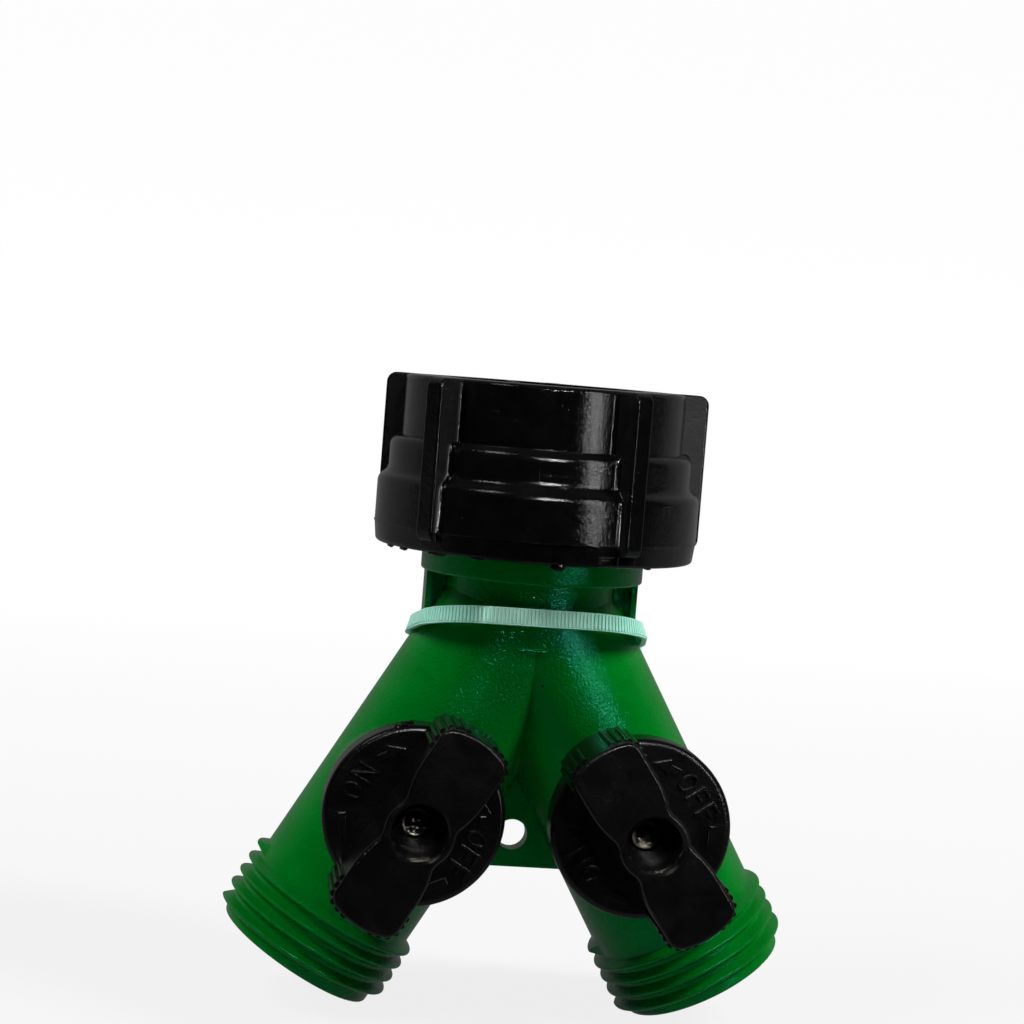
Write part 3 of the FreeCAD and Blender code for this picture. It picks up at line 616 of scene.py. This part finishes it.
wing = {
    "count": 5, "phase": 26.5, "thickness": 2.7,
    "fillet": 0.80, "steps": 4, "smooth": 40,
    "sunk": 0.1,             # of the root's hidden faces
    "dip": 0.03,             # of the fillet's foot into the nut's side
    # where the textured skin fades: off the flat, and at the radius of the wing's rounded end
    "skin": (0.12, 0.06), "skinEnd": (24.05, 23.95),
    # depth below the mouth and radius of the nut's outside
    "outline": ((0.5, 20.0), (8.55, 20.0), (8.60, 20.3), (8.66, 20.75), (8.84, 21.18), (9.2, 21.45),
                (9.6, 21.56), (10.1, 21.6), (12.9, 21.6), (13.55, 21.8), (14.1, 22.3), (14.65, 22.8),
                (15.3, 23.0), (20.9, 23.0), (21.0, 23.12), (21.1, 23.0), (22.2, 22.86)),
}


def addWingRoots(material):
    half, fillet, sunk = wing["thickness"] / 2, wing["fillet"], wing["sunk"]
    (top, radius), rest = wing["outline"][0], wing["outline"][1:]
    reach = math.sqrt(radius ** 2 - half ** 2)
    ring = [(half - sunk, reach + fillet), (half - sunk, reach - sunk), (half + fillet, reach - sunk)]
    for i in range(wing["steps"] + 1):
        angle = math.pi / 2 * (1 - i / wing["steps"])
        aside, down = math.cos(angle), math.sin(angle)
        ring.append((half + fillet - fillet * aside,
                     reach + fillet - fillet * down - wing["dip"] * down))
    clearSelection()
    bpy.ops.mesh.primitive_circle_add(vertices=len(ring), radius=mm, fill_type="NGON",
                                      location=(0, 0, -top * mm))
    root = bpy.context.object
    bpy.ops.object.transform_apply(location=True, rotation=False, scale=False)
    for vertex, (x, y) in zip(root.data.vertices, ring):
        vertex.co.x, vertex.co.y = x * mm, -y * mm
    editFaces(root, lambda face: True)
    depth = top
    for nextDepth, nextRadius in rest:
        bpy.ops.mesh.extrude_region_move(TRANSFORM_OT_translate={
            "value": (0, (radius - nextRadius) * mm, (depth - nextDepth) * mm)})
        depth, radius = nextDepth, nextRadius
    bpy.ops.object.mode_set(mode="OBJECT")
    roots = []
    for i in range(wing["count"]):
        turn = Matrix.Rotation(math.radians(wing["phase"] + i * 360 / wing["count"]), 4, "Z")
        for flip in (1, -1):
            roots.append(copyOf(root, turn @ Matrix.Diagonal((flip, 1, 1, 1))))
    bpy.data.objects.remove(root)
    whole = join(roots, "wing_roots")
    facesOut(whole)
    smoothed(whole, wing["smooth"])
    dress(whole, material, "nut")


# Small faults of the moulding: flash and nibs on the nut, lumps on the left knob's rim, a lip where
# the branches meet, and painted shade: a black lump where a small pit in the body lies in shadow

faults = {
    "flash": {"depth": 21.0, "radius": 23.06, "height": 0.14, "thickness": 0.35, "corners": 240,
              "jagged": 0.16, "wavy": 0.06, "seed": 5},
    # mean of the flash's swelling round the nut, then its waves: share, count round the nut, shift
    "swell": (0.5, ((0.3, 5, 1), (0.3, 13, 0))),
    # degrees from the front, width, drop and thickness of each nib on the nut's lower edge
    "nibs": ((1.6, 2.2, 0.75, 0.8), (-26.8, 2.0, 0.32, 0.7), (-43.0, 3.0, 0.36, 0.7),
             (-61.0, 1.8, 0.42, 0.7), (-71.0, 1.6, 0.38, 0.7), (38.0, 1.4, 0.22, 0.6),
             (104.0, 2.4, 0.34, 0.7), (171.0, 1.8, 0.30, 0.7), (228.0, 2.6, 0.38, 0.7)),
    "nibRing": (22.15, 23.86),     # its radius, and its depth below the mouth
    # place, half size and seed of each lump
    "rim": (((-18.75, -17.75, -47.75), (0.62, 0.34, 0.40), 0),
            ((-17.9, -17.8, -47.2), (0.50, 0.34, 0.36), 1),
            ((-17.1, -17.8, -46.95), (0.42, 0.30, 0.28), 2)),
    "lip": ((-0.35, -12.02, -36.75), (2.8, 0.52, 0.30), 2),
    # painted shade: a small black lump set where a pit in the body lies in shadow
    "pitShade": ((1.38, -11.70, -41.71), (0.20, 0.10, 0.22), 3),
    "uneven": {"offset": 0.22, "uniform": 0.8, "normal": 0.2},      # how a lump's corners stray
    "lumpSteps": 2, "smooth": 60,
}


def addLump(place, size, seed, angle=0.0):
    clearSelection()
    bpy.ops.mesh.primitive_ico_sphere_add(subdivisions=faults["lumpSteps"], radius=1,
                                          location=(0, 0, 0))
    lump = bpy.context.object
    editFaces(lump, lambda face: True)
    bpy.ops.transform.vertex_random(**faults["uneven"], seed=seed)
    bpy.ops.object.mode_set(mode="OBJECT")
    settle(lump, Matrix.Translation(Vector(place) * mm) @ Matrix.Rotation(math.radians(angle), 4, "Z")
           @ Matrix.Diagonal((*(Vector(size) * mm), 1)))
    smoothed(lump, faults["smooth"])
    return lump


def addNutFlash(material):
    line = faults["flash"]
    clearSelection()
    bpy.ops.mesh.primitive_cylinder_add(vertices=line["corners"], radius=line["radius"] * mm,
                                        depth=line["height"] * mm, end_fill_type="NOTHING",
                                        location=(0, 0, -line["depth"] * mm))
    band = bpy.context.object
    bpy.ops.object.transform_apply(location=True, rotation=False, scale=False)
    chance = random.Random(line["seed"])
    mean, waves = faults["swell"]
    for vertex in band.data.vertices:
        way = math.atan2(vertex.co.x, -vertex.co.y)
        swell = mean + sum(share * math.sin(count * way + shift) for share, count, shift in waves)
        out = line["jagged"] * max(0.0, swell) * chance.random()
        vertex.co.x += math.sin(way) * out * mm
        vertex.co.y -= math.cos(way) * out * mm
        vertex.co.z += (chance.random() - 0.5) * line["wavy"] * mm
    wall = band.modifiers.new("wall", "SOLIDIFY")
    wall.thickness = line["thickness"] * mm
    wall.offset = -1
    bpy.ops.object.modifier_apply(modifier=wall.name)
    items = [band]
    radius, depth = faults["nibRing"]
    for order, (angle, width, drop, thick) in enumerate(faults["nibs"]):
        way = math.radians(angle)
        items.append(addLump((math.sin(way) * radius, -math.cos(way) * radius, -depth),
                             (width / 2, thick / 2, drop), order, angle))
    dress(join(items, "nut_flash"), material, "nut")


def addSmallFaults(materials):
    rim = join([addLump(*lump) for lump in faults["rim"]], "left_knob_flash")
    dress(rim, materials["knob_plastic"], "left_valve")
    lip = join([addLump(*faults["lip"])], "meeting_lip")
    dress(lip, materials["body_plastic"], "body")
    # a lump in the black nut plastic, painted as the shade inside a small pit of the body
    pitShade = join([addLump(*faults["pitShade"])], "body_pit_shade")
    dress(pitShade, materials["nut_plastic"], "body")


# Ribs of the neck tie

tie = {
    "depth": 35.3,                     # of its middle below the nut's mouth
    "width": 2.4,
    "tilt": 13.5,                      # front up
    # outline of its loop: half its width and depth, slope of its sides, and radius of its corners
    "halfSpan": 16.936, "halfDepth": 13.810, "backSpread": 0.15, "frontCorner": 9.1,
    "footSpread": 0.35,                # growth of half its width for each mm down the strap
    "ribPitch": 0.52, "ribWidth": 0.35, "ribRise": 0.15, "ribEdge": 0.05, "margin": 0.14,
    "ribReach": 26.0,                  # each way round from the middle of the front
}


# point and outward direction on the band's outside, from its front's middle towards +X
def tiePoint(along, level):
    spread, depth = tie["backSpread"], tie["halfDepth"]
    span = tie["halfSpan"] - level * tie["footSpread"]
    lean = math.atan(spread)
    mirror = Vector((1 if along >= 0 else -1, 1))
    rest = abs(along)
    radius = tie["frontCorner"]
    turn = math.pi / 2 - lean
    corner = span - depth * spread           # where the front and the side would meet
    straight = corner - radius * math.tan(turn / 2)
    if rest <= straight:
        return Vector((rest, -depth)) * mirror, Vector((0, -1))
    rest -= straight
    if rest <= radius * turn:
        angle = rest / radius
        centre = Vector((straight, -depth + radius))
        out = Vector((math.sin(angle), -math.cos(angle)))
        point = centre + out * radius
        return point * mirror, out * mirror
    rest -= radius * turn
    out = Vector((math.cos(lean), -math.sin(lean)))
    start = Vector((straight, -depth + radius)) + out * radius
    point = start + Vector((math.sin(lean), math.cos(lean))) * rest
    return point * mirror, out * mirror


def addTieRibs(material):
    tilt = Matrix.Translation((0, 0, -tie["depth"] * mm)) @ Matrix.Rotation(
        math.radians(-tie["tilt"]), 4, "X")
    clearSelection()
    bpy.ops.mesh.primitive_cube_add(size=1, location=(0, 0, 0))
    rib = bpy.context.object
    length = tie["width"] - 2 * tie["margin"]
    rib.scale = (tie["ribWidth"] * mm, 2 * tie["ribRise"] * mm, length * mm)
    bpy.ops.object.transform_apply(location=False, rotation=False, scale=True)
    bevelled(rib, tie["ribEdge"], 1)
    ribs = []
    count = int(tie["ribReach"] / tie["ribPitch"])
    for i in range(-count, count + 1):
        along = i * tie["ribPitch"]
        low, out = tiePoint(along, -tie["width"] / 2)
        high = tiePoint(along, tie["width"] / 2)[0]
        middle = (low + high) / 2
        up = Vector((high.x - low.x, high.y - low.y, tie["width"])).normalized()
        side = up.cross(out.to_3d()).normalized()
        front = side.cross(up).normalized()
        turn = Matrix((side, -front, up)).transposed().to_4x4()
        ribs.append(copyOf(rib, tilt @ Matrix.Translation((middle.x * mm, middle.y * mm, 0)) @ turn))
    bpy.data.objects.remove(rib)
    band = join(ribs, "tie_ribs")
    facesOut(band)
    dress(band, material, "body")


# Build

print("camera, light and floor")
clearSelection()
bpy.context.scene.view_settings.view_transform = "Standard"
addCamera()
addLamps()
addSurround()
addSweep()

print("finishes")
grainGroup, handlingGroup = makeMouldGrain(), makeHandling()
materials = {look["slot"]: makeFinish(name, look, grainGroup, handlingGroup)
             for name, look in finishes.items()}
for part in frame["record"]["subparts"]:
    node = nodes[part["node"]]
    node.data.materials.clear()
    node.data.materials.append(materials[part["material_slot"]])

print("words on the knobs")
for side in ("left", "right"):
    addKnobMarks(side, materials["knob_plastic"])

print("ribs of the tie")
addTieRibs(materials["tie_nylon"])

print("roots of the wings")
addWingRoots(materials["nut_plastic"])

print("small faults of the moulding")
addNutFlash(materials["nut_plastic"])
addSmallFaults(materials)

clearSelection()
print("done")
